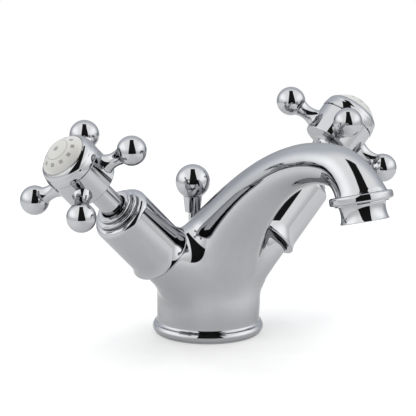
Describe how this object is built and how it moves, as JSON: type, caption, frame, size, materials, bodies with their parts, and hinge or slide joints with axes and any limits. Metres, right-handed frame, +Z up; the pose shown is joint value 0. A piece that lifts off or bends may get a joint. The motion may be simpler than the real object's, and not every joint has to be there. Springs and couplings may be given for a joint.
{
  "type": "basin mixer tap",
  "caption": "Chrome basin mixer tap with an arched spout, angled quarter-turn valves, ball-ended cross handles with domed ceramic buttons, and a lift rod behind.",
  "frame": {"origin": "centre of the column on the flat underside that stands on the deck", "axes": "+Z up, spout towards -Y, hot handle towards -X, cold handle towards +X"},
  "size_m": [0.1973, 0.1586, 0.1122],
  "materials": {
    "chrome": "polished plating on brass",
    "brass": "turned",
    "ceramic": "glazed ceramic",
    "rubber": "moulded black",
    "plastic": "moulded acetal",
    "steel": "stainless"
  },
  "bodies": {
    "tap_body": {"body": "chrome", "spout": "chrome", "outlet_collar": "chrome", "base_gasket": "rubber", "rod_guide": "plastic", "outlet_nozzle": "chrome", "aerator_insert": "plastic", "aerator_washer": "rubber", "hot_shroud": "chrome", "cold_shroud": "chrome", "hot_bonnet": "brass", "cold_bonnet": "brass", "hot_bonnet_washer": "rubber", "cold_bonnet_washer": "rubber", "hot_seat_seal": "rubber", "cold_seat_seal": "rubber", "hot_fixed_disc": "ceramic", "cold_fixed_disc": "ceramic"},
    "hot_valve": {"hot_moving_disc": "ceramic", "hot_spindle": "brass", "hot_spindle_seals": "rubber", "hot_spindle_clip": "steel", "hot_handle_hub": "chrome", "hot_handle_arms": "chrome", "hot_handle_cap": "chrome", "hot_index_disc": "ceramic", "hot_handle_screw": "steel"},
    "cold_valve": {"cold_moving_disc": "ceramic", "cold_spindle": "brass", "cold_spindle_seals": "rubber", "cold_spindle_clip": "steel", "cold_handle_hub": "chrome", "cold_handle_arms": "chrome", "cold_handle_cap": "chrome", "cold_index_disc": "ceramic", "cold_handle_screw": "steel"},
    "lift": {"lift_rod": "chrome", "lift_knob": "chrome"}
  },
  "joints": [
    {"name": "hot_turn", "type": "hinge", "parent": "tap_body", "child": "hot_valve", "pos_m": [-0.0763, -0.0045, 0.0889], "axis": [-0.7071, 0, 0.7071], "range_deg": [0, 90]},
    {"name": "cold_turn", "type": "hinge", "parent": "tap_body", "child": "cold_valve", "pos_m": [0.0763, -0.0045, 0.0889], "axis": [0.7071, 0, 0.7071], "range_deg": [-90, 0]},
    {"name": "lift_rod_slide", "type": "slide", "parent": "tap_body", "child": "lift", "axis": [0, 0, 1], "range_m": [-0.0025, 0.022]}
  ]
}
